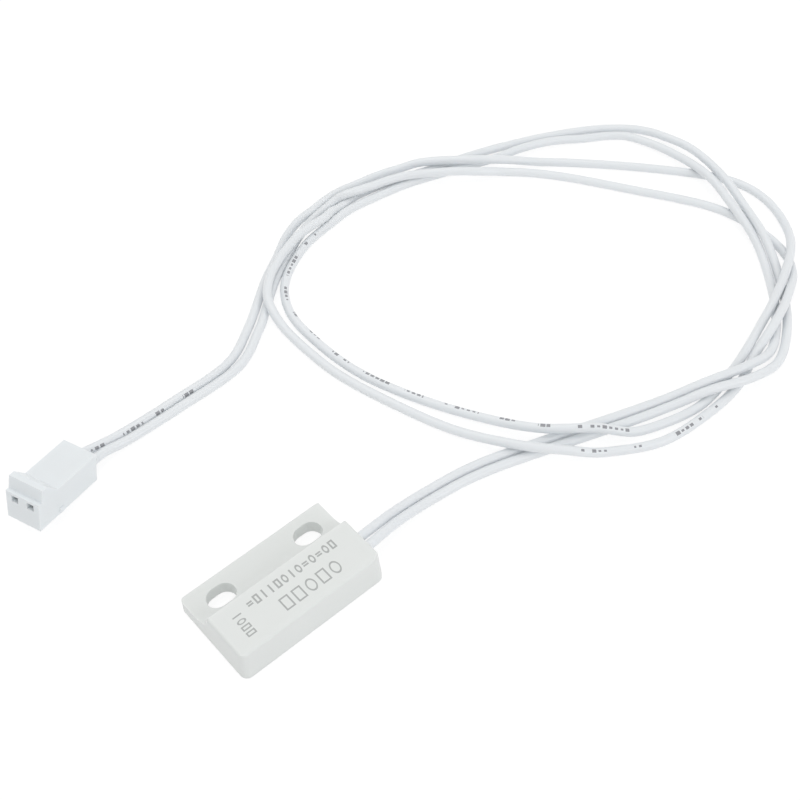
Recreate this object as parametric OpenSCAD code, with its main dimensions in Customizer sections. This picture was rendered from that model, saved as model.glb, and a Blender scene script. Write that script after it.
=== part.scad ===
// Miniature flat magnetic proximity sensor with a two-wire lead and a small crimp connector.
// Millimetres. Origin at the bottom centre of the moulded housing, +X toward the lead, +Z up.

/* [Housing] */
// length of the moulded housing
body_l = 23; // [22:0.5:26]
// width of the housing with its mounting flange
body_w = 13.9; // [13.6:0.1:16]
// height of the raised block
body_h = 5.9; // [5.8:0.1:7]
// thickness of the mounting flange
flange_t = 2.3; // [1.8:0.1:2.8]
// width of the block's flat top
block_w = 7.25; // [7:0.05:7.6]
// plan radius of the flange corners
flange_r = 0.9; // [0.3:0.1:1.5]
// plan radius of the block corner beside the lead, at the bottom
lead_corner_r = 1.2; // [0.8:0.1:1.6]
// plan radius of the same corner at the top
lead_corner_top_r = 2.6; // [1.8:0.1:2.8]
// plan radius of the block's other corner
end_corner_r = 1.1; // [0.5:0.1:1.6]
// rounding along the long and short top edges
edge_r = 0.4; // [0.2:0.05:0.6]
// how far the face beside the lead leans in at the top
lead_draft = 0.65; // [0.2:0.05:0.9]

/* [Mounting slots] */
// width of each slot, for an M3 screw
slot_w = 3.2; // [3:0.1:3.4]
// full length of each slot
slot_l = 4.2; // [3.8:0.1:5]
// distance between the slot centres
slot_pitch = 14.2; // [13:0.1:15]
// slot centre line from the flange edge
slot_inset = 3.25; // [2.8:0.05:3.5]

/* [Housing cavity] */
// wall beside the long and short sides of the cavity
side_wall = 0.85; // [0.7:0.05:1]
// wall above the cavity
top_wall = 0.9; // [0.7:0.05:1]
// wall between the cavity and the lead
lead_wall = 1.5; // [1.3:0.1:1.7]
// wall at the end away from the lead
end_wall = 1.2; // [0.9:0.1:1.4]
// rounding of the upright cavity corners
cavity_r = 0.5; // [0.2:0.1:0.8]

/* [Reed switch] */
// outer diameter of the glass tube
glass_od = 1.8; // [1.6:0.1:1.9]
// bore of the glass tube
glass_id = 1.2; // [1:0.1:1.3]
// bare lead between the glass tube and the splice
glass_gap = 1.6; // [1.2:0.1:2.4]
// length of each sealed end
seal_l = 1.2; // [0.8:0.1:1.6]
// glass end from the cavity wall away from the lead
glass_inset = 2.1; // [1.8:0.1:2.4]
// diameter of the switch leads
lead_d = 0.5; // [0.4:0.05:0.55]
// width of the flattened blades
blade_w = 0.9; // [0.7:0.05:0.95]
// thickness of the flattened blades
blade_t = 0.16; // [0.12:0.02:0.2]
// open gap between the two blades
blade_gap = 0.08; // [0.05:0.01:0.1]
// length over which the two blades overlap
blade_lap = 0.8; // [0.5:0.1:1.2]
// round lead that runs on into each flattened blade
blade_root = 0.4; // [0.2:0.1:0.6]

/* [Splices] */
// outer diameter of the splice sleeves
splice_od = 1.3; // [1.1:0.05:1.4]
// length of the splice sleeves
splice_l = 2.5; // [2:0.1:2.6]
// splice end from the insulation end
splice_gap = 0.9; // [0.7:0.1:1.2]

/* [Lead] */
// outer diameter of the wire insulation
wire_od = 1.4; // [1.3:0.02:1.4]
// diameter of the stranded conductor
core_d = 0.5; // [0.4:0.05:0.55]
// height of the wires where they leave the housing
wire_z = 2.9; // [2.8:0.1:3.2]
// spacing of the wires where they leave the housing
wire_pitch = 1.7; // [1.6:0.05:1.8]
// near wire from the housing's plain long side
wire_inset = 3.75; // [3.6:0.05:3.9]
// insulation that reaches into the housing
wire_seat = 2.7; // [2.3:0.1:3]
// potting around the wires where they leave the housing
mouth_edge = 0.15; // [0.1:0.05:0.25]

/* [Connector housing] */
// length of the connector housing
conn_l = 12; // [11.8:0.1:13]
// width of the connector housing
conn_w = 5.4; // [5.2:0.1:5.8]
// height of the connector housing
conn_h = 4.7; // [4.6:0.05:5]
// pitch of the two ways
conn_pitch = 2.54; // [2.5:0.01:2.6]
// height of the latch ramp
ramp_h = 2; // [1:0.1:2.2]
// front face to the foot of the ramp
ramp_front = 0.6; // [0.4:0.1:0.9]
// how far the ramp front leans back
ramp_lean = 0.3; // [0.1:0.1:0.5]
// flat length on the ramp
ramp_flat = 0.95; // [0.6:0.05:1.4]
// length of the ramp's sloping back
ramp_fall = 2.05; // [1.5:0.05:3]
// side of the square pin openings
pin_hole = 1.1; // [0.8:0.1:1.1]
// height of the pin openings above the bottom
pin_z = 3.7; // [3.6:0.02:3.7]
// side length of the small pip
pip_l = 0.8; // [0.4:0.1:1]
// how far the pip and the rib stand out
pip_t = 0.2; // [0.1:0.05:0.3]
// radius of the rib on the far side
rib_r = 0.5; // [0.3:0.05:0.6]

/* [Connector cavities] */
// width of each cavity
way_w = 2; // [1.96:0.02:2.1]
// floor under the cavities
way_floor = 1.1; // [0.9:0.05:1.15]
// roof above the cavities
way_roof = 0.45; // [0.35:0.05:0.5]
// wall behind the front face
front_wall = 0.9; // [0.7:0.1:1.1]
// front face to the locking windows
window_x = 4; // [3.6:0.1:4.2]
// length of each locking window
window_l = 1.4; // [1.2:0.1:1.6]
// width of each locking window
window_w = 1.2; // [1:0.1:1.4]

/* [Contacts] */
// play of a contact in its cavity, each side
contact_play = 0.05; // [0.02:0.01:0.08]
// sheet thickness of the contacts
sheet_t = 0.2; // [0.15:0.01:0.22]
// length of the contact box
box_l = 4.6; // [4:0.1:4.8]
// length of the conductor crimp
core_crimp_l = 2; // [1.6:0.1:2.2]
// outer diameter of the conductor crimp
core_crimp_od = 1.3; // [1:0.1:1.4]
// length of the insulation crimp
grip_l = 1.6; // [1.2:0.1:1.8]
// wall of the insulation crimp
grip_t = 0.2; // [0.15:0.05:0.2]
// length of the strip between box and conductor crimp
neck_l = 1; // [0.8:0.1:1.2]
// length of the spring tongue
spring_l = 2.6; // [2:0.1:3]
// height of the spring tongue at its free end
spring_rise = 0.6; // [0.3:0.1:0.8]
// height of the locking tang below the strip
tang_h = 0.5; // [0.3:0.1:0.8]
// length of the locking tang
tang_l = 1; // [0.6:0.1:1.1]
// gap between the conductor crimp and the insulation crimp
crimp_gap = 0.5; // [0.4:0.1:0.7]

/* [Hidden] */
$fn = 48;

// block and slots
near_y = -body_w / 2;
block_y = near_y + block_w;
cove_r = body_h - flange_t;
slot_y = body_w / 2 - slot_inset;
through = 1;
edge_steps = 6;

// cavity
cav_x0 = -body_l / 2 + end_wall;
cav_x1 = body_l / 2 - lead_wall;
cav_y0 = near_y + side_wall;
cav_y1 = block_y - side_wall;
cav_z1 = body_h - top_wall;

// wires at the housing
wire_y2 = near_y + wire_inset;
wire_y1 = wire_y2 + wire_pitch;
wire_x0 = body_l / 2 - wire_seat;
mouth_r = wire_od / 2 + mouth_edge;

// reed switch and splices
splice_x1 = wire_x0 - splice_gap;
splice_x0 = splice_x1 - splice_l;
splice_mid = (splice_x0 + splice_x1) / 2;
glass_x0 = cav_x0 + glass_inset;
glass_x1 = splice_x0 - glass_gap;
bend_x = glass_x0 - 1;
blade_mid = (glass_x0 + glass_x1) / 2;

// connector pose on the bench: its rear bottom edge rests, its front is lifted
conn_x = -20.4;
conn_y = 29.5;
conn_yaw = 20.5;
conn_tip = 13.2;
conn_z = conn_l * sin(conn_tip);

// contact stations, measured back from the front face
box_x0 = front_wall;
box_x1 = box_x0 + box_l;
core_x0 = box_x1 + neck_l;
core_x1 = core_x0 + core_crimp_l;
grip_x0 = core_x1 + crimp_gap;
grip_x1 = grip_x0 + grip_l;
contact_w = way_w - 2 * contact_play;
axis_z = way_floor + wire_od / 2 + grip_t;
strip_x1 = grip_x1;

// a point of the connector in the model's frame
function conn_at(p) = [
    conn_x + cos(conn_yaw) * (cos(conn_tip) * p[0] + sin(conn_tip) * p[2]) - sin(conn_yaw) * p[1],
    conn_y + sin(conn_yaw) * (cos(conn_tip) * p[0] + sin(conn_tip) * p[2]) + cos(conn_yaw) * p[1],
    conn_z - sin(conn_tip) * p[0] + cos(conn_tip) * p[2]
];

// route of the wire that leaves nearer the flange: twice round the loop, then to the far way
route_1 = [
    [wire_x0, wire_y1, wire_z], [body_l / 2 + 0.3, wire_y1, wire_z], [14.5, -1.2, 2.5],
    [18.5, -0.7, 1.5], [25, -0.8, 0.7], [33, -2.1, 0.7], [43, -5.3, 0.7], [54, -9.1, 0.7],
    [61, -11.4, 0.8], [66.5, -13.6, 2.1], [73.5, -15.7, 2.3], [79.5, -15.5, 1.1], [85.5, -11.5, 0.7],
    [91, -5.6, 0.7], [95.2, 0.9, 1.4], [97.6, 7.9, 2.35], [100, 15.5, 2.3], [100.4, 24, 1.3],
    [99, 30.2, 0.8], [97, 32.9, 0.7], [92.5, 35.8, 0.7], [87.5, 38.6, 1.15], [82.2, 40.7, 1.15],
    [77.4, 42.2, 0.7], [67.1, 45.7, 0.7], [62, 47.2, 0.7], [56.6, 48.1, 0.7], [52.1, 48.6, 0.7],
    [48.4, 48.3, 0.7], [40.9, 46.9, 0.7], [34, 43, 0.7], [30.5, 37.5, 0.7], [29.8, 30.5, 0.7],
    [30.7, 21.7, 0.7], [33.7, 13, 0.7], [38.2, 3.9, 1], [42.5, -3.7, 2.2], [48.5, -9.1, 2.4],
    [54, -12.9, 0.7], [63.5, -15.4, 0.7], [73, -14, 0.7], [82, -11.4, 1.5], [89, -8.9, 2.2],
    [96.5, -5, 2.3], [101.5, -0.5, 0.9], [104.1, 5.5, 0.7], [103.7, 11.5, 0.7], [100, 17.8, 0.7],
    [92, 27.3, 0.7], [83, 36.3, 0.7], [78.4, 39.4, 1.8], [75.2, 41.7, 2.2], [72.2, 44.2, 2.2],
    [69.3, 46.5, 2.2], [66.4, 48.7, 1.9], [63.9, 50.4, 1], [60.6, 51.7, 0.7], [56.5, 52.4, 0.7],
    [52.7, 53, 0.7], [49.9, 52.9, 0.7], [46.7, 52.4, 0.7], [43.7, 52, 0.7], [40, 50.5, 0.7],
    [35.8, 47.7, 0.7], [31.4, 44.9, 0.7], [23.7, 39, 0.7], [17, 35.4, 0.7], [7, 34.9, 0.7],
    [-1.5, 34.8, 0.9], [-5.8, 34.8, 1.5],
    conn_at([conn_l, conn_pitch / 2, axis_z]), conn_at([grip_x0, conn_pitch / 2, axis_z])
];

// route of the wire beside it: over its neighbours in the left of the loop, then to the near way
route_2 = [
    [wire_x0, wire_y2, wire_z], [body_l / 2 + 0.3, wire_y2, wire_z], [14.5, -2.8, 2.5],
    [18.5, -2.2, 1.5], [25, -2.3, 0.7], [32.5, -3.6, 0.7], [42.5, -6.8, 0.7], [53.5, -10.6, 0.7],
    [60.5, -12.9, 1], [66, -15.1, 2.2], [72.5, -17.6, 2.2], [79.2, -17.4, 0.8], [86.1, -13.2, 0.7],
    [91.8, -7.1, 0.7], [95.8, -0.6, 2.15], [98.9, 6.2, 2.2], [101.7, 13.5, 2.3], [103.2, 20.9, 1.9],
    [102.7, 26.6, 1.3], [101.5, 30.8, 0.7], [98, 34.4, 0.7], [94, 37.2, 0.7], [87.9, 40.4, 0.7],
    [82.7, 42.6, 0.7], [77.9, 44.4, 0.7], [73.6, 45.7, 0.7], [69.4, 46.6, 0.7], [64.6, 48.1, 0.7],
    [61.1, 49.2, 0.7], [57.4, 50, 0.7], [54, 50.4, 0.7], [51.8, 50.1, 0.7], [50.3, 50, 0.7],
    [48.6, 49.7, 1.3], [46.8, 49, 1.7], [43.7, 48.6, 2.1], [41.4, 48.4, 2.1], [38.4, 47.5, 2.1],
    [33.2, 45, 2.1], [29.7, 41.9, 2.2], [28.3, 39.2, 1.9], [27.8, 35.5, 0.8], [27.7, 30, 0.7],
    [28.3, 23, 0.7], [30.5, 14.6, 0.7], [34, 4.6, 0.9], [38.2, -3.8, 2.2], [42.5, -8.4, 1.9],
    [47.5, -12.2, 0.7], [55, -16.2, 0.7], [64, -17.1, 0.7], [71, -16.5, 0.7], [77, -14.4, 0.7],
    [81.5, -13.4, 2.2], [86, -11.9, 2.3], [90.2, -10, 2.1], [94.2, -7.6, 1], [97, -3.6, 0.7],
    [97.8, 3.2, 0.7], [96, 11, 0.7], [89.5, 21.7, 0.7], [82.7, 32, 0.7], [77.2, 38.1, 0.7],
    [72.9, 40.6, 1.7], [69.9, 42.7, 2.1], [67.5, 44.5, 2.1], [63.7, 47.1, 2], [60.4, 48.5, 2],
    [56.9, 49.4, 2], [53.9, 50.2, 2.1], [52.4, 50.8, 1.9], [51.4, 51.4, 1.3], [50.1, 51.6, 0.8],
    [48.7, 51.4, 0.7], [45.4, 50.7, 0.7], [42.5, 49.6, 0.7], [38.8, 47.7, 0.7], [33, 44.2, 0.7],
    [28, 40.2, 0.7], [24.8, 37.7, 0.7], [18, 33.9, 0.7], [7, 33.4, 0.7], [-1.5, 33.3, 0.9],
    [-5.6, 33.3, 1.5],
    conn_at([conn_l, -conn_pitch / 2, axis_z]), conn_at([grip_x0, -conn_pitch / 2, axis_z])
];

// smooth curve through the route points, with an extra ring in each long step
long_step = 8.4;
function before(p, i) = i > 0 ? p[i - 1] : 2 * p[0] - p[1];
function after(p, i) = i < len(p) - 1 ? p[i + 1] : 2 * p[i] - p[i - 1];
function midway(p, i) = (9 * (p[i] + p[i + 1]) - before(p, i) - after(p, i + 1)) / 16;
function rest(q) = [q[0], q[1], max(q[2], wire_od / 2)];
function rings(p) = [
    for (i = [0 : len(p) - 1], k = [0 : 1])
        if (k == 0 || (i < len(p) - 1 && norm(p[min(i + 1, len(p) - 1)] - p[i]) > long_step))
            rest(k == 0 ? p[i] : midway(p, i))
];
function unit(v) = v / norm(v);
function heading(c, i) = unit(
    (i < len(c) - 1 ? unit(c[i + 1] - c[i]) : [0, 0, 0]) + (i > 0 ? unit(c[i] - c[i - 1]) : [0, 0, 0])
);
function across(t) = unit(cross(t, [0, 0, 1]));
sides = 8;
function ring_points(c, i, r) = let (t = heading(c, i), a = across(t), b = cross(a, t)) [
    for (k = [0 : sides - 1]) let (w = (k + 0.5) * 360 / sides) c[i] + r * (cos(w) * a + sin(w) * b)
];
function tube_faces(n) = concat(
    [[for (k = [0 : sides - 1]) k]],
    [for (i = [0 : n - 2], k = [0 : sides - 1]) let (m = (k + 1) % sides)
        [i * sides + k, (i + 1) * sides + k, (i + 1) * sides + m, i * sides + m]],
    [[for (k = [sides - 1 : -1 : 0]) (n - 1) * sides + k]]
);

module tube(path, d) {
    c = rings(path);
    polyhedron(
        points = [for (i = [0 : len(c) - 1]) each ring_points(c, i, d / 2)],
        faces = tube_faces(len(c)),
        convexity = 12
    );
}

// rod along X between two stations
module rod(x0, x1, y, d) {
    translate([x0, y, wire_z])
        rotate([0, 90, 0])
            cylinder(d = d, h = x1 - x0);
}

module in_connector() {
    translate([conn_x, conn_y, conn_z])
        rotate([0, conn_tip, conn_yaw])
            children();
}

// rectangle with its own radius at each corner, counterclockwise from the lower left
module rounded_plan(x0, y0, x1, y1, r) {
    difference() {
        translate([x0, y0])
            square([x1 - x0, y1 - y0]);
        corner_cut(x0, y0, 1, 1, r[0]);
        corner_cut(x1, y0, -1, 1, r[1]);
        corner_cut(x1, y1, -1, -1, r[2]);
        corner_cut(x0, y1, 1, -1, r[3]);
    }
}

module corner_cut(x, y, sx, sy, r) {
    difference() {
        translate([x - (sx < 0 ? r : 0), y - (sy < 0 ? r : 0)])
            square(r);
        translate([x + sx * r, y + sy * r])
            circle(r = r);
    }
}

// cross-section of block, cove and flange, drawn in Y and Z
module cross_profile() {
    difference() {
        translate([near_y, 0])
            square([body_w, body_h]);
        translate([block_y + cove_r, body_h])
            circle(r = cove_r);
        translate([block_y + cove_r, flange_t])
            square([body_w, body_h]);
        corner_cut(near_y, body_h, 1, -1, edge_r);
        corner_cut(body_w / 2, flange_t, -1, -1, edge_r);
    }
}

// outline from the long side, drawn in X and Z, leaning in beside the lead
module long_profile() {
    face = norm([body_h, lead_draft]);
    lean = atan(lead_draft / body_h);
    mid_x = body_l / 2 - lead_draft - edge_r * (face - lead_draft) / body_h;
    mid_z = body_h - edge_r;
    difference() {
        polygon([
            [-body_l / 2, 0], [body_l / 2, 0],
            for (k = [0 : edge_steps]) let (w = lean + (90 - lean) * k / edge_steps)
                [mid_x + edge_r * cos(w), mid_z + edge_r * sin(w)],
            [-body_l / 2, body_h]
        ]);
        corner_cut(-body_l / 2, body_h, 1, -1, edge_r);
    }
}

// the block corner beside the lead, more rounded toward the top
module lead_corner_lean() {
    lean = atan((lead_corner_top_r - lead_corner_r) * (sqrt(2) - 1) / body_h);
    translate([body_l / 2, near_y, body_h])
        rotate(a = -lean, v = [1, 1, 0])
            translate([0, 0, -2 * body_h])
                linear_extrude(3 * body_h)
                    difference() {
                        translate([-lead_corner_top_r, -through])
                            square(lead_corner_top_r + through);
                        translate([-lead_corner_top_r, lead_corner_top_r])
                            circle(r = lead_corner_top_r);
                    }
}

module slot_cut(x) {
    for (s = [-1, 1])
        translate([x + s * (slot_l - slot_w) / 2, slot_y, -through])
            cylinder(d = slot_w, h = body_h + 2 * through);
    translate([x - (slot_l - slot_w) / 2, slot_y - slot_w / 2, -through])
        cube([slot_l - slot_w, slot_w, body_h + 2 * through]);
}

module cavity() {
    linear_extrude(cav_z1)
        rounded_plan(cav_x0, cav_y0, cav_x1, cav_y1, [cavity_r, cavity_r, cavity_r, cavity_r]);
}

// mouth for the two wires in the wall beside the lead
module mouth(x0, x1) {
    rod(x0, x1, wire_y1, 2 * mouth_r);
    rod(x0, x1, wire_y2, 2 * mouth_r);
    translate([x0, wire_y2, wire_z - mouth_r])
        cube([x1 - x0, wire_pitch, 2 * mouth_r]);
}

module sensor_housing() {
    color("gainsboro")
        difference() {
            intersection() {
                linear_extrude(body_h)
                    rounded_plan(
                        -body_l / 2, near_y, body_l / 2, body_w / 2,
                        [end_corner_r, lead_corner_r, flange_r, flange_r]
                    );
                translate([-body_l, 0, 0])
                    rotate([90, 0, 90])
                        linear_extrude(2 * body_l)
                            cross_profile();
                translate([0, body_w, 0])
                    rotate([90, 0, 0])
                        linear_extrude(2 * body_w)
                            long_profile();
            }
            lead_corner_lean();
            slot_cut(-slot_pitch / 2);
            slot_cut(slot_pitch / 2);
            cavity();
            mouth(cav_x1 - cavity_r, body_l / 2 + through);
        }
}

module potting_compound() {
    color("dimgray")
        difference() {
            union() {
                cavity();
                mouth(cav_x1 - cavity_r, body_l / 2 - lead_draft);
            }
            rod(glass_x0, glass_x1, wire_y2, glass_od);
            far_lead();
            rod(glass_x1 - seal_l, splice_mid, wire_y2, lead_d);
            for (y = [wire_y1, wire_y2]) {
                rod(splice_x0, splice_x1, y, splice_od);
                rod(splice_mid, body_l / 2, y, core_d);
                rod(wire_x0, body_l / 2, y, wire_od);
            }
        }
}

module reed_glass() {
    color("lightcyan")
        difference() {
            rod(glass_x0, glass_x1, wire_y2, glass_od);
            rod(glass_x0 + seal_l, glass_x1 - seal_l, wire_y2, glass_id);
            rod(glass_x0 - through, glass_x1 + through, wire_y2, lead_d);
        }
}

// the far blade's lead goes round the end of the glass and back beside it
module far_lead() {
    rod(bend_x, glass_x0 + seal_l + blade_root, wire_y2, lead_d);
    rod(bend_x, splice_mid, wire_y1, lead_d);
    translate([bend_x, wire_y2, wire_z])
        rotate([-90, 0, 0])
            cylinder(d = lead_d, h = wire_pitch);
    for (y = [wire_y1, wire_y2])
        translate([bend_x, y, wire_z])
            sphere(d = lead_d);
}

module blade(x0, x1, z) {
    translate([x0, wire_y2 - blade_w / 2, z])
        cube([x1 - x0, blade_w, blade_t]);
}

module reed_blade_near() {
    color("silver")
        union() {
            rod(glass_x1 - seal_l - blade_root, splice_mid, wire_y2, lead_d);
            blade(blade_mid - blade_lap / 2, glass_x1 - seal_l, wire_z + blade_gap / 2);
        }
}

module reed_blade_far() {
    color("silver")
        union() {
            far_lead();
            blade(glass_x0 + seal_l, blade_mid + blade_lap / 2, wire_z - blade_gap / 2 - blade_t);
        }
}

module splice(y) {
    color("goldenrod")
        difference() {
            rod(splice_x0, splice_x1, y, splice_od);
            rod(splice_x0 - through, splice_x1 + through, y, min(lead_d, core_d));
            rod(splice_x0 - through, splice_mid, y, lead_d);
            rod(splice_mid, splice_x1 + through, y, core_d);
        }
}

// bare ends of a conductor, one in its splice and one in its contact
module conductor(y, way) {
    color("peru") {
        rod(splice_mid, wire_x0, y, core_d);
        in_connector()
            translate([core_x0, way, axis_z])
                rotate([0, 90, 0])
                    cylinder(d = core_d, h = grip_x0 - core_x0);
    }
}

module wire(path) {
    color("whitesmoke")
        tube(path, wire_od);
}

// side view of the connector housing with its ramp, drawn in X and Z
module connector_profile() {
    polygon([
        [0, 0], [conn_l, 0], [conn_l, conn_h],
        [ramp_front + ramp_lean + ramp_flat + ramp_fall, conn_h],
        [ramp_front + ramp_lean + ramp_flat, conn_h + ramp_h],
        [ramp_front + ramp_lean, conn_h + ramp_h],
        [ramp_front, conn_h], [0, conn_h]
    ]);
}

module way(y) {
    translate([front_wall, y - way_w / 2, way_floor])
        cube([conn_l, way_w, conn_h - way_floor - way_roof]);
    translate([-through, y - pin_hole / 2, pin_z - pin_hole / 2])
        cube([2 * through, pin_hole, pin_hole]);
    translate([window_x, y - window_w / 2, -through])
        cube([window_l, window_w, 2 * through + way_floor]);
}

module connector_housing() {
    color("aliceblue")
        in_connector()
            difference() {
                union() {
                    translate([0, conn_w / 2, 0])
                        rotate([90, 0, 0])
                            linear_extrude(conn_w)
                                connector_profile();
                    translate([ramp_front + rib_r, conn_w / 2, conn_h - 3 * rib_r])
                        rotate([-90, 0, 0])
                            cylinder(r = rib_r, h = pip_t);
                    translate([conn_l / 3, -conn_w / 2 - pip_t, pip_l / 4])
                        cube([pip_l, pip_t, pip_l]);
                }
                way(conn_pitch / 2);
                way(-conn_pitch / 2);
            }
}

// open tube along X in the connector's own axes
module barrel(x0, x1, y, outer, inner) {
    translate([x0, y, axis_z])
        rotate([0, 90, 0])
            difference() {
                cylinder(d = outer, h = x1 - x0);
                translate([0, 0, -through])
                    cylinder(d = inner, h = x1 - x0 + 2 * through);
            }
}

module contact(y) {
    box_h = conn_h - way_roof - way_floor - contact_play;
    color("khaki")
        in_connector()
            union() {
                difference() {
                    translate([box_x0, y - contact_w / 2, way_floor])
                        cube([box_l, contact_w, box_h]);
                    translate([box_x0 - through, y - contact_w / 2 + sheet_t, way_floor + sheet_t])
                        cube([box_l + 2 * through, contact_w - 2 * sheet_t, box_h - 2 * sheet_t]);
                }
                translate([0, y + contact_w / 4, 0])
                    rotate([90, 0, 0])
                        linear_extrude(contact_w / 2)
                            polygon([
                                [box_x1 - spring_l, way_floor], [box_x1, way_floor],
                                [box_x1, way_floor + sheet_t],
                                [box_x1 - spring_l, way_floor + sheet_t + spring_rise]
                            ]);
                difference() {
                    translate([box_x1 - sheet_t, y - wire_od / 2, way_floor])
                        cube([strip_x1 - box_x1 + sheet_t, wire_od, sheet_t + core_d / 2]);
                    translate([core_x0, y, axis_z])
                        rotate([0, 90, 0])
                            cylinder(d = core_d, h = conn_l);
                    translate([grip_x0, y, axis_z])
                        rotate([0, 90, 0])
                            cylinder(d = wire_od, h = conn_l);
                }
                barrel(core_x0, core_x1, y, core_crimp_od, core_d);
                barrel(grip_x0, grip_x1, y, wire_od + 2 * grip_t, wire_od);
                translate([window_x + contact_play, y - window_w / 4, way_floor - tang_h])
                    cube([tang_l, window_w / 2, tang_h + sheet_t / 2]);
            }
}

sensor_housing();
potting_compound();
reed_glass();
reed_blade_near();
reed_blade_far();
splice(wire_y1);  // splice_1
splice(wire_y2);  // splice_2
conductor(wire_y1, conn_pitch / 2);  // conductor_1
conductor(wire_y2, -conn_pitch / 2);  // conductor_2
wire(route_1);  // wire_1
wire(route_2);  // wire_2
connector_housing();
contact(conn_pitch / 2);  // contact_1
contact(-conn_pitch / 2);  // contact_2
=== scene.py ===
import math

import bmesh
import bpy
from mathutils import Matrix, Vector


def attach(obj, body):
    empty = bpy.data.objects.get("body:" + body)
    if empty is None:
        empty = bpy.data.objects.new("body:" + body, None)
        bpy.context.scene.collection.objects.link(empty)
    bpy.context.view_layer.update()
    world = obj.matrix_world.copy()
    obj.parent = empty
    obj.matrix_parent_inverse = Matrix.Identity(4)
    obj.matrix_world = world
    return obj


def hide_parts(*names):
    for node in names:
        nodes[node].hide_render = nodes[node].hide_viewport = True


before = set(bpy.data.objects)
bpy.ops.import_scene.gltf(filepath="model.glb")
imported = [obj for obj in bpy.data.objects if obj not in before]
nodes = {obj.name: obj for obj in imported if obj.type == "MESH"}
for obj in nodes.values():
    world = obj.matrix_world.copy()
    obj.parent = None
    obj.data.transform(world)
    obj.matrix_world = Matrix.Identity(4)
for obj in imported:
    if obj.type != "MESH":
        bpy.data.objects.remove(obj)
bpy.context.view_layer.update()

mm = 0.001
print("frame:", len(nodes), "nodes")


# small helpers for materials

def newMaterial(name):
    material = bpy.data.materials.new(name)
    material.use_nodes = True
    tree = material.node_tree
    return material, tree, tree.nodes["Principled BSDF"]


def addNode(tree, kind, place=(0, 0), **values):
    node = tree.nodes.new(kind)
    node.location = place
    for key, value in values.items():
        setattr(node, key, value)
    return node


def setSockets(node, **values):
    # underscores in a keyword stand for the spaces in a socket's name
    for key, value in values.items():
        node.inputs[key.replace("_", " ")].default_value = value
    return node


def mathNode(tree, operation, first, second=None, third=None):
    node = addNode(tree, "ShaderNodeMath", operation=operation)
    for place, value in enumerate((first, second, third)):
        if value is None:
            continue
        if isinstance(value, (int, float)):
            node.inputs[place].default_value = value
        else:
            tree.links.new(value, node.inputs[place])
    return node.outputs[0]


def within(tree, value, low, high):
    # 1 where the value lies between low and high
    above = mathNode(tree, "GREATER_THAN", value, low)
    return mathNode(tree, "MULTIPLY", above, mathNode(tree, "LESS_THAN", value, high))


def overlay(tree, below, above):
    # one mask out of two, the first of which may still be missing
    return above if below is None else mathNode(tree, "MAXIMUM", below, above)


def groupSocket(group, name, direction, kind="NodeSocketFloat", value=None):
    socket = group.interface.new_socket(name=name, in_out=direction, socket_type=kind)
    if value is not None:
        socket.default_value = value


# fine grain of a moulded or rolled surface: two close tones, a varying roughness and a height

mouldedNoise = {
    "cloud": {"Detail": 4.0, "Roughness": 0.55},
    "grain": {"Detail": 3.0, "Roughness": 0.6},
}


def buildMouldedGroup():
    group = bpy.data.node_groups.new("mouldedSurface", "ShaderNodeTree")
    groupSocket(group, "Tone", "INPUT", "NodeSocketColor", (0.8, 0.8, 0.8, 1))
    groupSocket(group, "Deep Tone", "INPUT", "NodeSocketColor", (0.7, 0.7, 0.7, 1))
    groupSocket(group, "Cloud Scale", "INPUT", value=250.0)
    groupSocket(group, "Grain Scale", "INPUT", value=6000.0)
    groupSocket(group, "Smooth", "INPUT", value=0.35)
    groupSocket(group, "Rough", "INPUT", value=0.5)
    groupSocket(group, "Color", "OUTPUT", "NodeSocketColor")
    groupSocket(group, "Roughness", "OUTPUT")
    groupSocket(group, "Height", "OUTPUT")
    entry = addNode(group, "NodeGroupInput", (-700, 0))
    result = addNode(group, "NodeGroupOutput", (500, 0))
    place = addNode(group, "ShaderNodeTexCoord", (-700, -300))
    cloud = addNode(group, "ShaderNodeTexNoise", (-400, 150))
    setSockets(cloud, **mouldedNoise["cloud"])
    grain = addNode(group, "ShaderNodeTexNoise", (-400, -200))
    setSockets(grain, **mouldedNoise["grain"])
    tone = addNode(group, "ShaderNodeMix", (0, 150), data_type="RGBA")
    rough = addNode(group, "ShaderNodeMapRange", (0, -100))
    links = group.links
    links.new(place.outputs["Object"], cloud.inputs["Vector"])
    links.new(place.outputs["Object"], grain.inputs["Vector"])
    links.new(entry.outputs["Cloud Scale"], cloud.inputs["Scale"])
    links.new(entry.outputs["Grain Scale"], grain.inputs["Scale"])
    links.new(cloud.outputs["Fac"], tone.inputs["Factor"])
    links.new(entry.outputs["Tone"], tone.inputs["A"])
    links.new(entry.outputs["Deep Tone"], tone.inputs["B"])
    links.new(grain.outputs["Fac"], rough.inputs["Value"])
    links.new(entry.outputs["Smooth"], rough.inputs["To Min"])
    links.new(entry.outputs["Rough"], rough.inputs["To Max"])
    links.new(tone.outputs["Result"], result.inputs["Color"])
    links.new(rough.outputs["Result"], result.inputs["Roughness"])
    links.new(grain.outputs["Fac"], result.inputs["Height"])
    return group


# a stretch of small plain dashes that spell nothing: chance leaves some out and varies the rest

dashLook = {
    "emptyBelow": 0.12,          # a cell with a lower chance stays empty
    "halfWidth": (0.3, 0.3),     # times the weight: the least, and what chance adds
    "halfHeight": (0.2, 0.3),    # times the height: the least, and what chance adds
}


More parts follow.
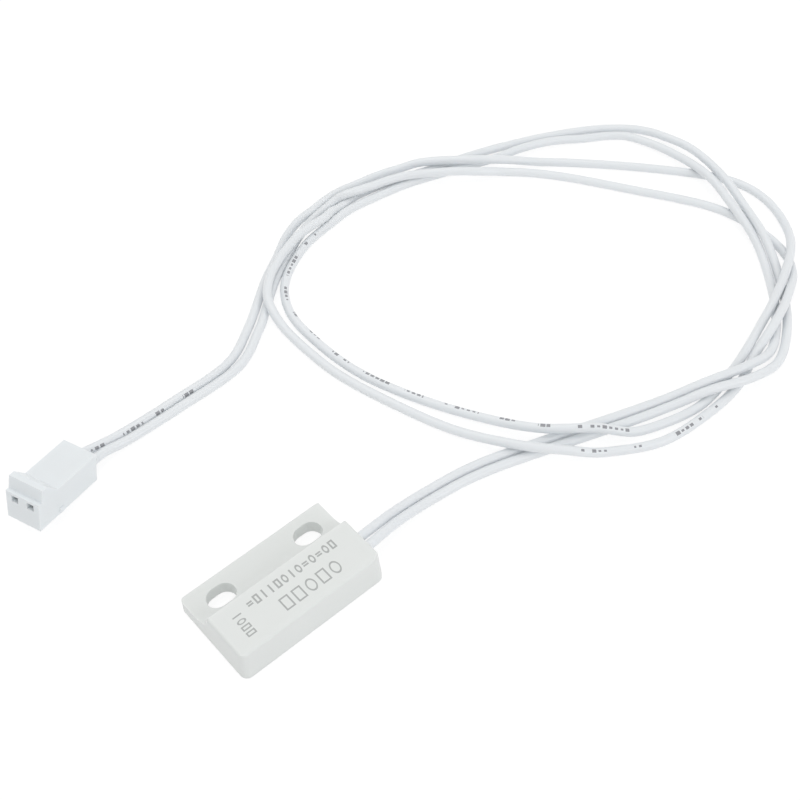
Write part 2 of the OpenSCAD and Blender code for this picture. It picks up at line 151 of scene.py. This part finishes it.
def buildDashGroup():
    group = bpy.data.node_groups.new("plainDashes", "ShaderNodeTree")
    for name in ("Along", "Across", "Start", "End"):
        groupSocket(group, name, "INPUT")
    groupSocket(group, "Pitch", "INPUT", value=1.0)
    groupSocket(group, "Height", "INPUT", value=1.0)
    groupSocket(group, "Weight", "INPUT", value=0.3)
    groupSocket(group, "Mask", "OUTPUT")
    inputs = addNode(group, "NodeGroupInput", (-900, 0)).outputs
    result = addNode(group, "NodeGroupOutput", (700, 0))
    cells = mathNode(group, "DIVIDE", inputs["Along"], inputs["Pitch"])
    dice = addNode(group, "ShaderNodeTexWhiteNoise", noise_dimensions="1D")
    group.links.new(mathNode(group, "FLOOR", cells), dice.inputs["W"])
    chance = dice.outputs["Value"]

    def varied(size, least, spread):
        share = mathNode(group, "MULTIPLY_ADD", chance, spread, least)
        return mathNode(group, "MULTIPLY", size, share)

    inCell = mathNode(group, "SUBTRACT", mathNode(group, "FRACT", cells), 0.5)
    fromMiddle = mathNode(group, "ABSOLUTE", inCell)
    fromRow = mathNode(group, "ABSOLUTE", inputs["Across"])
    width = varied(inputs["Weight"], *dashLook["halfWidth"])
    height = varied(inputs["Height"], *dashLook["halfHeight"])
    narrow = mathNode(group, "LESS_THAN", fromMiddle, width)
    low = mathNode(group, "LESS_THAN", fromRow, height)
    kept = mathNode(group, "GREATER_THAN", chance, dashLook["emptyBelow"])
    dash = mathNode(group, "MULTIPLY", mathNode(group, "MULTIPLY", narrow, low), kept)
    stretch = within(group, inputs["Along"], inputs["Start"], inputs["End"])
    group.links.new(mathNode(group, "MULTIPLY", dash, stretch), result.inputs["Mask"])
    return group


# a row of plain outlined shapes, one in each cell: a box, a ring, two short bars or an upright

shapeLook = {
    "halfWidth": 0.36,           # of the pitch
    "barPlace": 0.45,            # of half the height, above and below the middle
    # the stretch of chance in which each shape is drawn
    "box": (-1.0, 0.32),
    "ring": (0.32, 0.58),
    "bars": (0.58, 0.76),
    "upright": (0.76, 2.0),
}


def buildShapeGroup():
    group = bpy.data.node_groups.new("plainShapes", "ShaderNodeTree")
    for name in ("Along", "Across", "Start", "End"):
        groupSocket(group, name, "INPUT")
    groupSocket(group, "Pitch", "INPUT", value=1.0)
    groupSocket(group, "Height", "INPUT", value=1.0)
    groupSocket(group, "Line", "INPUT", value=0.1)
    groupSocket(group, "Order", "INPUT")
    groupSocket(group, "Mask", "OUTPUT")
    inputs = addNode(group, "NodeGroupInput", (-1200, 0)).outputs
    result = addNode(group, "NodeGroupOutput", (900, 0))
    fromStart = mathNode(group, "SUBTRACT", inputs["Along"], inputs["Start"])
    cells = mathNode(group, "DIVIDE", fromStart, inputs["Pitch"])
    dice = addNode(group, "ShaderNodeTexWhiteNoise", noise_dimensions="1D")
    number = mathNode(group, "ADD", mathNode(group, "FLOOR", cells), inputs["Order"])
    group.links.new(number, dice.inputs["W"])
    chance = dice.outputs["Value"]

    # u and v are measured from the middle of the cell
    inCell = mathNode(group, "SUBTRACT", mathNode(group, "FRACT", cells), 0.5)
    u = mathNode(group, "ABSOLUTE", mathNode(group, "MULTIPLY", inCell, inputs["Pitch"]))
    v = mathNode(group, "ABSOLUTE", inputs["Across"])
    halfWidth = mathNode(group, "MULTIPLY", inputs["Pitch"], shapeLook["halfWidth"])
    halfHeight = mathNode(group, "MULTIPLY", inputs["Height"], 0.5)
    inward = mathNode(group, "MULTIPLY", inputs["Line"], -1.0)
    overU = mathNode(group, "SUBTRACT", u, halfWidth)
    overV = mathNode(group, "SUBTRACT", v, halfHeight)

    roundU = mathNode(group, "POWER", mathNode(group, "DIVIDE", u, halfWidth), 2.0)
    roundV = mathNode(group, "POWER", mathNode(group, "DIVIDE", v, halfHeight), 2.0)
    radius = mathNode(group, "SQRT", mathNode(group, "ADD", roundU, roundV))
    size = mathNode(group, "MULTIPLY", mathNode(group, "ADD", halfWidth, halfHeight), 0.5)
    overRing = mathNode(group, "MULTIPLY", mathNode(group, "SUBTRACT", radius, 1.0), size)
    barHeight = mathNode(group, "MULTIPLY", halfHeight, shapeLook["barPlace"])
    overBar = mathNode(group, "SUBTRACT", v, barHeight)
    halfLine = mathNode(group, "MULTIPLY", inputs["Line"], 0.5)
    inWidth = mathNode(group, "LESS_THAN", overU, 0.0)
    inHeight = mathNode(group, "LESS_THAN", overV, 0.0)
    inLine = mathNode(group, "LESS_THAN", u, halfLine)
    shapes = {
        "box": within(group, mathNode(group, "MAXIMUM", overU, overV), inward, 0.0),
        "ring": within(group, overRing, inward, 0.0),
        "bars": mathNode(group, "MULTIPLY", inWidth, within(group, overBar, inward, 0.0)),
        "upright": mathNode(group, "MULTIPLY", inLine, inHeight),
    }
    mask = None
    for name, shape in shapes.items():
        chosen = within(group, chance, *shapeLook[name])
        mask = overlay(group, mask, mathNode(group, "MULTIPLY", shape, chosen))
    row = within(group, inputs["Along"], inputs["Start"], inputs["End"])
    group.links.new(mathNode(group, "MULTIPLY", mask, row), result.inputs["Mask"])
    return group


mouldedGroup = buildMouldedGroup()
dashGroup = buildDashGroup()
shapeGroup = buildShapeGroup()
print("shared effects done")


def addMoulded(tree, bsdf, finish):
    # bumpDepth is in mm
    surface = addNode(tree, "ShaderNodeGroup", (-600, 0), node_tree=mouldedGroup)
    setSockets(
        surface, Tone=(*finish["tones"][0], 1), Deep_Tone=(*finish["tones"][1], 1),
        Cloud_Scale=finish["cloudScale"], Grain_Scale=finish["grainScale"],
        Smooth=finish["smooth"], Rough=finish["rough"],
    )
    relief = addNode(tree, "ShaderNodeBump", (-250, -300))
    setSockets(relief, Strength=finish["bump"], Distance=finish["bumpDepth"] * mm)
    tree.links.new(surface.outputs["Height"], relief.inputs["Height"])
    tree.links.new(relief.outputs["Normal"], bsdf.inputs["Normal"])
    tree.links.new(surface.outputs["Roughness"], bsdf.inputs["Roughness"])
    tree.links.new(surface.outputs["Color"], bsdf.inputs["Base Color"])
    return surface


def addGlow(bsdf, finish):
    # milky plastic: light enters, wanders by the depth in mm and comes out again
    setSockets(
        bsdf, Subsurface_Weight=finish["glow"], Subsurface_Scale=finish["glowDepth"] * mm,
        Subsurface_Radius=(1.0, 1.0, 1.0), IOR=1.5,
    )


def addInk(tree, bsdf, surface, mask, finish):
    # ink over the surface's own colour
    amount = mathNode(tree, "MULTIPLY", mask, finish["inkStrength"])
    blend = addNode(tree, "ShaderNodeMix", (-250, 200), data_type="RGBA")
    tree.links.new(amount, blend.inputs["Factor"])
    tree.links.new(surface.outputs["Color"], blend.inputs["A"])
    blend.inputs["B"].default_value = (*finish["ink"], 1)
    tree.links.new(blend.outputs["Result"], bsdf.inputs["Base Color"])


def markMask(tree, group, along, across, **values):
    marks = addNode(tree, "ShaderNodeGroup", node_tree=group)
    tree.links.new(along, marks.inputs["Along"])
    tree.links.new(across, marks.inputs["Across"])
    return setSockets(marks, **values).outputs["Mask"]


# camera, floor and light

photoCamera = {
    "lens": 61.245,              # mm
    "sensor": 36.0,              # mm
    "azimuth": -41.06,           # degrees round the object, 0 looks along +Y
    "elevation": 51.8,           # degrees above the floor
    "target": (32.3, 14.1, 0.0),  # mm
    "distance": 197.0,           # mm
    "clip": (0.005, 10.0),       # metres
}


def makeCamera(settings):
    data = bpy.data.cameras.new("photoCamera")
    data.lens = settings["lens"]
    data.sensor_width = settings["sensor"]
    data.clip_start, data.clip_end = settings["clip"]
    camera = bpy.data.objects.new("photoCamera", data)
    bpy.context.scene.collection.objects.link(camera)
    turn, lift = math.radians(settings["azimuth"]), math.radians(settings["elevation"])
    level = math.cos(lift)
    back = Vector((math.sin(turn) * level, -math.cos(turn) * level, math.sin(lift)))
    camera.location = (Vector(settings["target"]) + back * settings["distance"]) * mm
    camera.rotation_mode = "QUATERNION"
    camera.rotation_quaternion = (-back).to_track_quat("-Z", "Y")
    bpy.context.scene.camera = camera


makeCamera(photoCamera)
bpy.context.scene.view_settings.view_transform = "Standard"

studio = {
    "floorHalf": 2.0,            # metres
    "floorColor": (0.86, 0.86, 0.86),
    "floorRoughness": 0.9,
    "floorGlow": 1.16,           # white that is mixed into the lit floor
    # its share for what is seen: near the object, far away, and the two distances in metres
    "floorGlowShare": (0.70, 1.0),
    "floorFade": (0.16, 0.45),
    "tableGlowShare": 0.25,      # its share for the light that the floor throws on the object
    "worldLight": 0.67,
    "lamps": {
        # name: place in mm, size in mm, power in watts, colour
        "lampAbove": ((60, 160, 420), 420, 0.47, (1.0, 0.99, 0.97)),
        "lampSide": ((110, -400, 280), 300, 0.38, (0.97, 0.98, 1.0)),
    },
}


def lightPathWhite(tree):
    # 1 for camera, glossy and transmission rays
    rays = addNode(tree, "ShaderNodeLightPath", (-800, 300)).outputs
    seen = mathNode(tree, "MAXIMUM", rays["Is Camera Ray"], rays["Is Glossy Ray"])
    return mathNode(tree, "MAXIMUM", seen, rays["Is Transmission Ray"])


def mixShaders(tree, share, first, second, target):
    mix = addNode(tree, "ShaderNodeMixShader", (300, 0))
    tree.links.new(share, mix.inputs[0])
    tree.links.new(first.outputs[0], mix.inputs[1])
    tree.links.new(second.outputs[0], mix.inputs[2])
    tree.links.new(mix.outputs[0], target.inputs["Surface"])


def makeFloorMaterial(settings):
    material, tree, bsdf = newMaterial("floorWhite")
    setSockets(
        bsdf, Base_Color=(*settings["floorColor"], 1), Roughness=settings["floorRoughness"],
        Specular_IOR_Level=0.0,
    )
    glow = addNode(tree, "ShaderNodeEmission", (0, -300))
    setSockets(glow, Strength=settings["floorGlow"])
    place = addNode(tree, "ShaderNodeTexCoord", (-1000, 0))
    away = addNode(tree, "ShaderNodeVectorMath", (-800, 0), operation="LENGTH")
    tree.links.new(place.outputs["Object"], away.inputs[0])
    fade = addNode(tree, "ShaderNodeMapRange", (-600, 0))
    tree.links.new(away.outputs["Value"], fade.inputs["Value"])
    near, far = settings["floorFade"]
    nearShare, farShare = settings["floorGlowShare"]
    setSockets(fade, From_Min=near, From_Max=far, To_Min=nearShare, To_Max=farShare)
    seen = lightPathWhite(tree)
    unseen = mathNode(tree, "SUBTRACT", 1.0, seen)
    table = mathNode(tree, "MULTIPLY", unseen, settings["tableGlowShare"])
    share = mathNode(tree, "MULTIPLY_ADD", seen, fade.outputs["Result"], table)
    mixShaders(tree, share, bsdf, glow, tree.nodes["Material Output"])
    return material


def makeFloor(settings):
    half = settings["floorHalf"]
    mesh = bpy.data.meshes.new("floor")
    corners = [(-half, -half, 0), (half, -half, 0), (half, half, 0), (-half, half, 0)]
    mesh.from_pydata(corners, [], [(0, 1, 2, 3)])
    mesh.materials.append(makeFloorMaterial(settings))
    floor = bpy.data.objects.new("floor", mesh)
    bpy.context.scene.collection.objects.link(floor)


def makeWorld(settings):
    world = bpy.data.worlds.new("studioWorld")
    bpy.context.scene.world = world
    world.use_nodes = True
    tree = world.node_tree
    tree.nodes.clear()
    light = addNode(tree, "ShaderNodeBackground", (0, 0))
    setSockets(light, Color=(1, 1, 1, 1), Strength=settings["worldLight"])
    white = addNode(tree, "ShaderNodeBackground", (0, -200))
    setSockets(white, Color=(1, 1, 1, 1), Strength=1.0)
    output = addNode(tree, "ShaderNodeOutputWorld", (500, 0))
    mixShaders(tree, lightPathWhite(tree), light, white, output)


def makeLamps(settings):
    aim = Vector(photoCamera["target"]) * mm
    for name, (place, size, power, color) in settings["lamps"].items():
        data = bpy.data.lights.new(name, "AREA")
        data.shape = "DISK"
        data.size = size * mm
        data.energy = power
        data.color = color
        lamp = bpy.data.objects.new(name, data)
        bpy.context.scene.collection.objects.link(lamp)
        lamp.location = Vector(place) * mm
        lamp.rotation_mode = "QUATERNION"
        lamp.rotation_quaternion = (aim - lamp.location).to_track_quat("-Z", "Y")


makeFloor(studio)
makeWorld(studio)
makeLamps(studio)
print("camera, floor and light done")

# the two lead wires

connectorPose = {
    "place": (-20.4, 29.5),      # mm, its front bottom edge seen from above
    "yaw": 20.5,                 # degrees
    "tip": 13.2,                 # degrees: its front is lifted, its rear bottom edge rests
    "length": 12.0,              # mm, as are the next three
    "pitch": 2.54,
    "axisHeight": 2.0,
    "gripStart": 9.0,
}


def connectorPoint(x, y, z):
    # from mm behind, beside and above the middle of its front bottom edge to mm of the scene
    yaw, tip = math.radians(connectorPose["yaw"]), math.radians(connectorPose["tip"])
    behind = math.cos(tip) * x + math.sin(tip) * z
    lift = connectorPose["length"] * math.sin(tip)
    return (
        connectorPose["place"][0] + math.cos(yaw) * behind - math.sin(yaw) * y,
        connectorPose["place"][1] + math.sin(yaw) * behind + math.cos(yaw) * y,
        lift - math.sin(tip) * x + math.cos(tip) * z,
    )


def connectorEnd(side):
    # the last two points of a route, at the housing's rear and at the contact's grip
    across = side * connectorPose["pitch"] / 2
    return [
        connectorPoint(connectorPose["length"], across, connectorPose["axisHeight"]),
        connectorPoint(connectorPose["gripStart"], across, connectorPose["axisHeight"]),
    ]


leadWire = {
    "diameter": 1.4,             # mm
    "sides": 20,
    "ringStep": 1.0,             # mm between rings
    "floorClearance": 0.7,       # mm, the centre line never lies lower
}

# route of each wire in mm, the same points as in the part's source
wireRoutes = {
    "leadWire1": [
        (8.8, -1.5, 2.9), (11.8, -1.5, 2.9), (14.5, -1.2, 2.5), (18.5, -0.7, 1.5),
        (25, -0.8, 0.7), (33, -2.1, 0.7), (43, -5.3, 0.7), (54, -9.1, 0.7), (61, -11.4, 0.8),
        (66.5, -13.6, 2.1), (73.5, -15.7, 2.3), (79.5, -15.5, 1.1), (85.5, -11.5, 0.7),
        (91, -5.6, 0.7), (95.2, 0.9, 1.4), (97.6, 7.9, 2.35), (100, 15.5, 2.3),
        (100.4, 24, 1.3), (99, 30.2, 0.8), (97, 32.9, 0.7), (92.5, 35.8, 0.7),
        (87.5, 38.6, 1.15), (82.2, 40.7, 1.15), (77.4, 42.2, 0.7), (67.1, 45.7, 0.7),
        (62, 47.2, 0.7), (56.6, 48.1, 0.7), (52.1, 48.6, 0.7), (48.4, 48.3, 0.7),
        (40.9, 46.9, 0.7), (34, 43, 0.7), (30.5, 37.5, 0.7), (29.8, 30.5, 0.7),
        (30.7, 21.7, 0.7), (33.7, 13, 0.7), (38.2, 3.9, 1), (42.5, -3.7, 2.2),
        (48.5, -9.1, 2.4), (54, -12.9, 0.7), (63.5, -15.4, 0.7), (73, -14, 0.7),
        (82, -11.4, 1.5), (89, -8.9, 2.2), (96.5, -5, 2.3), (101.5, -0.5, 0.9),
        (104.1, 5.5, 0.7), (103.7, 11.5, 0.7), (100, 17.8, 0.7), (92, 27.3, 0.7),
        (83, 36.3, 0.7), (78.4, 39.4, 1.8), (75.2, 41.7, 2.2), (72.2, 44.2, 2.2),
        (69.3, 46.5, 2.2), (66.4, 48.7, 1.9), (63.9, 50.4, 1), (60.6, 51.7, 0.7),
        (56.5, 52.4, 0.7), (52.7, 53, 0.7), (49.9, 52.9, 0.7), (46.7, 52.4, 0.7),
        (43.7, 52, 0.7), (40, 50.5, 0.7), (35.8, 47.7, 0.7), (31.4, 44.9, 0.7), (23.7, 39, 0.7),
        (17, 35.4, 0.7), (7, 34.9, 0.7), (-1.5, 34.8, 0.9), (-5.8, 34.8, 1.5),
    ],
    "leadWire2": [
        (8.8, -3.2, 2.9), (11.8, -3.2, 2.9), (14.5, -2.8, 2.5), (18.5, -2.2, 1.5),
        (25, -2.3, 0.7), (32.5, -3.6, 0.7), (42.5, -6.8, 0.7), (53.5, -10.6, 0.7),
        (60.5, -12.9, 1), (66, -15.1, 2.2), (72.5, -17.6, 2.2), (79.2, -17.4, 0.8),
        (86.1, -13.2, 0.7), (91.8, -7.1, 0.7), (95.8, -0.6, 2.15), (98.9, 6.2, 2.2),
        (101.7, 13.5, 2.3), (103.2, 20.9, 1.9), (102.7, 26.6, 1.3), (101.5, 30.8, 0.7),
        (98, 34.4, 0.7), (94, 37.2, 0.7), (87.9, 40.4, 0.7), (82.7, 42.6, 0.7),
        (77.9, 44.4, 0.7), (73.6, 45.7, 0.7), (69.4, 46.6, 0.7), (64.6, 48.1, 0.7),
        (61.1, 49.2, 0.7), (57.4, 50, 0.7), (54, 50.4, 0.7), (51.8, 50.1, 0.7), (50.3, 50, 0.7),
        (48.6, 49.7, 1.3), (46.8, 49, 1.7), (43.7, 48.6, 2.1), (41.4, 48.4, 2.1),
        (38.4, 47.5, 2.1), (33.2, 45, 2.1), (29.7, 41.9, 2.2), (28.3, 39.2, 1.9),
        (27.8, 35.5, 0.8), (27.7, 30, 0.7), (28.3, 23, 0.7), (30.5, 14.6, 0.7), (34, 4.6, 0.9),
        (38.2, -3.8, 2.2), (42.5, -8.4, 1.9), (47.5, -12.2, 0.7), (55, -16.2, 0.7),
        (64, -17.1, 0.7), (71, -16.5, 0.7), (77, -14.4, 0.7), (81.5, -13.4, 2.2),
        (86, -11.9, 2.3), (90.2, -10, 2.1), (94.2, -7.6, 1), (97, -3.6, 0.7), (97.8, 3.2, 0.7),
        (96, 11, 0.7), (89.5, 21.7, 0.7), (82.7, 32, 0.7), (77.2, 38.1, 0.7), (72.9, 40.6, 1.7),
        (69.9, 42.7, 2.1), (67.5, 44.5, 2.1), (63.7, 47.1, 2), (60.4, 48.5, 2), (56.9, 49.4, 2),
        (53.9, 50.2, 2.1), (52.4, 50.8, 1.9), (51.4, 51.4, 1.3), (50.1, 51.6, 0.8),
        (48.7, 51.4, 0.7), (45.4, 50.7, 0.7), (42.5, 49.6, 0.7), (38.8, 47.7, 0.7),
        (33, 44.2, 0.7), (28, 40.2, 0.7), (24.8, 37.7, 0.7), (18, 33.9, 0.7), (7, 33.4, 0.7),
        (-1.5, 33.3, 0.9), (-5.6, 33.3, 1.5),
    ],
}
wireRoutes["leadWire1"] += connectorEnd(1)
wireRoutes["leadWire2"] += connectorEnd(-1)


def smoothRoute(points, step, lowest):
    # one smooth curve through the points, in metres, with a ring about every step
    knots = [Vector(p) for p in points]
    knots = [2 * knots[0] - knots[1]] + knots + [2 * knots[-1] - knots[-2]]
    curve = []
    for a, b, c, d in zip(knots, knots[1:], knots[2:], knots[3:]):
        count = max(2, round((c - b).length / step))
        for k in range(count):
            u = k / count
            square, cube = 2 * a - 5 * b + 4 * c - d, 3 * b - a - 3 * c + d
            curve.append(0.5 * (2 * b + (c - a) * u + square * u * u + cube * u ** 3))
    curve.append(knots[-2])
    return [Vector((p.x, p.y, max(p.z, lowest))) * mm for p in curve]


def sweepTube(name, path, radius, sides, material):
    # round tube along the path, with its length in metres as U and its turn as V
    up = Vector((0, 0, 1))
    build = bmesh.new()
    layer = build.loops.layers.uv.new("along")
    rings, lengths, total = [], [], 0.0
    for i, point in enumerate(path):
        ahead = (path[min(i + 1, len(path) - 1)] - path[max(i - 1, 0)]).normalized()
        side = ahead.cross(up).normalized()
        top = side.cross(ahead)
        if i:
            total += (point - path[i - 1]).length
        lengths.append(total)
        ring = []
        for k in range(sides):
            turn = 2 * math.pi * k / sides
            outward = math.cos(turn) * side + math.sin(turn) * top
            ring.append(build.verts.new(point + radius * outward))
        rings.append(ring)
    for i in range(len(rings) - 1):
        for k in range(sides):
            m = (k + 1) % sides
            corners = (rings[i][k], rings[i][m], rings[i + 1][m], rings[i + 1][k])
            face = build.faces.new(corners)
            face.smooth = True
            turns = (k / sides, (k + 1) / sides, (k + 1) / sides, k / sides)
            along = (lengths[i], lengths[i], lengths[i + 1], lengths[i + 1])
            for loop, u, v in zip(face.loops, along, turns):
                loop[layer].uv = (u, v)
    build.faces.new(list(reversed(rings[0])))
    build.faces.new(rings[-1])
    bmesh.ops.recalc_face_normals(build, faces=build.faces)
    mesh = bpy.data.meshes.new(name)
    build.to_mesh(mesh)
    build.free()
    mesh.materials.append(material)
    tube = bpy.data.objects.new(name, mesh)
    bpy.context.scene.collection.objects.link(tube)
    return tube, total


wireFinish = {
    "tones": ((0.808, 0.834, 0.856), (0.784, 0.811, 0.836)),
    "cloudScale": 90.0,          # clouds of tone to a metre
    "grainScale": 4000.0,        # grains to a metre
    "smooth": 0.25,              # roughness, from this
    "rough": 0.36,               # to this
    "bump": 0.05,
    "bumpDepth": 0.02,           # mm
    "glow": 0.7,                 # share of the light that enters the insulation
    "glowDepth": 1.2,            # mm
    "ink": (0.16, 0.16, 0.18),
    "inkStrength": 0.75,
    "dashPitch": 0.85,           # mm from dash to dash
    "dashHeight": 0.6,           # mm round the wire
    "dashWeight": 0.7,           # how much of its place a dash fills
    # start and end in mm from the wire's end in the sensor, and the turn: 0.25 is the very top
    "dashes": {
        "leadWire1": [
            (187.4, 190.4, 0.30), (192.8, 197.5, 0.30), (199.6, 202.8, 0.30),
            (205.4, 206.6, 0.36), (210.0, 212.4, 0.36), (215.5, 218.8, 0.29),
            (221.5, 226.2, 0.29), (228.5, 231.5, 0.29), (234.6, 235.7, 0.29),
            (236.4, 240.0, 0.29), (242.2, 245.8, 0.30), (248.8, 250.5, 0.26),
            (253.2, 261.8, 0.20), (443.8, 445.6, 0.40), (449.0, 450.4, 0.40),
            (452.6, 456.0, 0.40), (458.8, 461.2, 0.40),
        ],
        "leadWire2": [
            (266.9, 271.8, 0.20), (274.9, 276.0, 0.20), (281.4, 286.6, 0.20),
            (289.0, 290.6, 0.20),
        ],
    },
}


def makeWireMaterial(wire):
    material, tree, bsdf = newMaterial(wire + "Finish")
    surface = addMoulded(tree, bsdf, wireFinish)
    addGlow(bsdf, wireFinish)
    route = addNode(tree, "ShaderNodeUVMap", (-1200, -200), uv_map="along")
    split = addNode(tree, "ShaderNodeSeparateXYZ", (-1000, -200))
    tree.links.new(route.outputs["UV"], split.inputs["Vector"])
    girth = math.pi * leadWire["diameter"] * mm
    mask = None
    for start, end, turn in wireFinish["dashes"][wire]:
        away = mathNode(tree, "SUBTRACT", split.outputs["Y"], turn)
        stretch = markMask(
            tree, dashGroup, split.outputs["X"], mathNode(tree, "MULTIPLY", away, girth),
            Start=start * mm, End=end * mm, Pitch=wireFinish["dashPitch"] * mm,
            Height=wireFinish["dashHeight"] * mm, Weight=wireFinish["dashWeight"],
        )
        mask = overlay(tree, mask, stretch)
    addInk(tree, bsdf, surface, mask, wireFinish)
    return material


def makeWire(name, node):
    path = smoothRoute(wireRoutes[name], leadWire["ringStep"], leadWire["floorClearance"])
    diameter = leadWire["diameter"] * mm
    material = makeWireMaterial(name)
    tube, length = sweepTube(name, path, diameter / 2, leadWire["sides"], material)
    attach(tube, "root")
    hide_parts(node)
    print(name, round(length / mm, 1), "mm")


makeWire("leadWire1", "wire_1")
makeWire("leadWire2", "wire_2")
print("wires done")

# how a piece of the part's source is dressed

edgeSettings = {
    "joinReach": 0.002,          # mm, the imported mesh has split corners
    "sharpest": 32.0,            # degrees, a blunter edge stays as it is
    "flatWeight": 100,           # how strongly the large faces lead
}


def dress(node, material):
    piece = nodes[node]
    for place in piece.material_slots:
        place.material = material
    for face in piece.data.polygons:
        face.use_smooth = True


def roundEdges(node, finish):
    # joined corners, rounded edges, and normals that keep the flat faces flat beside them
    piece = nodes[node]
    weld = piece.modifiers.new("joinCorners", "WELD")
    weld.merge_threshold = edgeSettings["joinReach"] * mm
    bevel = piece.modifiers.new("softEdges", "BEVEL")
    bevel.width = finish["edge"] * mm
    bevel.segments = finish["segments"]
    bevel.limit_method = "ANGLE"
    bevel.angle_limit = math.radians(edgeSettings["sharpest"])
    weighted = piece.modifiers.new("flatFaces", "WEIGHTED_NORMAL")
    weighted.keep_sharp = True
    weighted.weight = edgeSettings["flatWeight"]


# moulded sensor housing

housingFinish = {
    "tones": ((0.812, 0.834, 0.822), (0.790, 0.812, 0.800)),
    "cloudScale": 140.0,
    "grainScale": 5200.0,
    "smooth": 0.38,
    "rough": 0.52,
    "bump": 0.08,
    "bumpDepth": 0.03,           # mm
    "glow": 0.4,
    "glowDepth": 0.5,            # mm
    "edge": 0.16,                # mm, rounding of the edges that the mould leaves
    "segments": 3,
    "ink": (0.24, 0.25, 0.25),
    "inkStrength": 0.64,
    "inkAbove": 5.85,            # mm, just under the block's top
    # rows of plain shapes on the top: axis, middle, start, end, pitch, height and line, in mm
    "rows": [
        ("X", -1.45, -6.6, 7.7, 1.10, 1.35, 0.24),
        ("X", -4.35, -3.4, 6.3, 1.94, 2.0, 0.22),
        ("Y", -8.35, -5.3, -1.3, 1.0, 1.3, 0.20),
    ],
    "rowOrder": 20.0,            # keeps the rows' chances apart
}


def makeHousingMaterial(finish):
    material, tree, bsdf = newMaterial("housingPlastic")
    surface = addMoulded(tree, bsdf, finish)
    addGlow(bsdf, finish)
    place = addNode(tree, "ShaderNodeTexCoord", (-1300, -300))
    split = addNode(tree, "ShaderNodeSeparateXYZ", (-1100, -300))
    tree.links.new(place.outputs["Object"], split.inputs["Vector"])
    onTop = mathNode(tree, "GREATER_THAN", split.outputs["Z"], finish["inkAbove"] * mm)
    mask = None
    for order, (axis, middle, start, end, pitch, height, line) in enumerate(finish["rows"]):
        other = "Y" if axis == "X" else "X"
        across = mathNode(tree, "SUBTRACT", split.outputs[other], middle * mm)
        row = markMask(
            tree, shapeGroup, split.outputs[axis], across, Start=start * mm, End=end * mm,
            Pitch=pitch * mm, Height=height * mm, Line=line * mm,
            Order=order * finish["rowOrder"],
        )
        mask = overlay(tree, mask, row)
    addInk(tree, bsdf, surface, mathNode(tree, "MULTIPLY", mask, onTop), finish)
    return material


dress("sensor_housing", makeHousingMaterial(housingFinish))
roundEdges("sensor_housing", housingFinish)
print("housing done")

# connector housing

connectorFinish = {
    "tones": ((0.848, 0.886, 0.908), (0.825, 0.863, 0.885)),
    "cloudScale": 220.0,
    "grainScale": 5200.0,
    "smooth": 0.28,
    "rough": 0.42,
    "bump": 0.06,
    "bumpDepth": 0.03,           # mm
    "glow": 0.4,
    "glowDepth": 0.5,            # mm
    "edge": 0.2,                 # mm
    "segments": 3,
}


def makeConnectorMaterial(finish):
    material, tree, bsdf = newMaterial("connectorNylon")
    addMoulded(tree, bsdf, finish)
    addGlow(bsdf, finish)
    return material


dress("connector_housing", makeConnectorMaterial(connectorFinish))
roundEdges("connector_housing", connectorFinish)
print("connector done")

# resin, switch, splices and metal parts

innerEdge = {"edge": 0.04, "segments": 2}    # the edge's width is in mm

# what the finishes share; each bumpDepth is in mm
castGrain = {"cloudScale": 300.0, "grainScale": 1500.0}
metalGrain = {
    "cloudScale": 900.0, "grainScale": 9000.0, "bump": 0.12, "bumpDepth": 0.01,
    "shader": {"Metallic": 1.0},
}

innerFinish = {
    "pottingResin": {
        "tones": ((0.30, 0.33, 0.33), (0.26, 0.29, 0.29)), **castGrain,
        "smooth": 0.12, "rough": 0.28, "bump": 0.25, "bumpDepth": 0.06, "shader": {},
    },
    "switchGlass": {
        "tones": ((0.86, 0.95, 0.90), (0.82, 0.92, 0.86)), **castGrain,
        "smooth": 0.02, "rough": 0.06, "bump": 0.02, "bumpDepth": 0.01,
        "shader": {"Transmission Weight": 1.0},
    },
    "bladeMetal": {
        "tones": ((0.62, 0.60, 0.56), (0.56, 0.54, 0.50)), **metalGrain,
        "smooth": 0.22, "rough": 0.36,
    },
    "spliceMetal": {
        "tones": ((0.72, 0.70, 0.66), (0.62, 0.60, 0.56)), **metalGrain,
        "smooth": 0.25, "rough": 0.40,
    },
    "strandMetal": {
        "tones": ((0.72, 0.69, 0.66), (0.60, 0.57, 0.54)), **metalGrain,
        "smooth": 0.30, "rough": 0.45,
    },
    "contactMetal": {
        "tones": ((0.88, 0.87, 0.84), (0.80, 0.79, 0.76)), **metalGrain,
        "smooth": 0.20, "rough": 0.34,
    },
}

# which pieces wear each finish; the round strands have no edges to soften
innerPieces = {
    "pottingResin": ("potting_compound",),
    "switchGlass": ("reed_glass",),
    "bladeMetal": ("reed_blade_near", "reed_blade_far"),
    "spliceMetal": ("splice_1", "splice_2"),
    "strandMetal": ("conductor_1", "conductor_2"),
    "contactMetal": ("contact_1", "contact_2"),
}


def makeInnerMaterial(name):
    material, tree, bsdf = newMaterial(name)
    addMoulded(tree, bsdf, innerFinish[name])
    setSockets(bsdf, **innerFinish[name]["shader"])
    return material


for finishName, wearers in innerPieces.items():
    innerMaterial = makeInnerMaterial(finishName)
    for wearer in wearers:
        dress(wearer, innerMaterial)
        if finishName != "strandMetal":
            roundEdges(wearer, innerEdge)
print("inner pieces done")
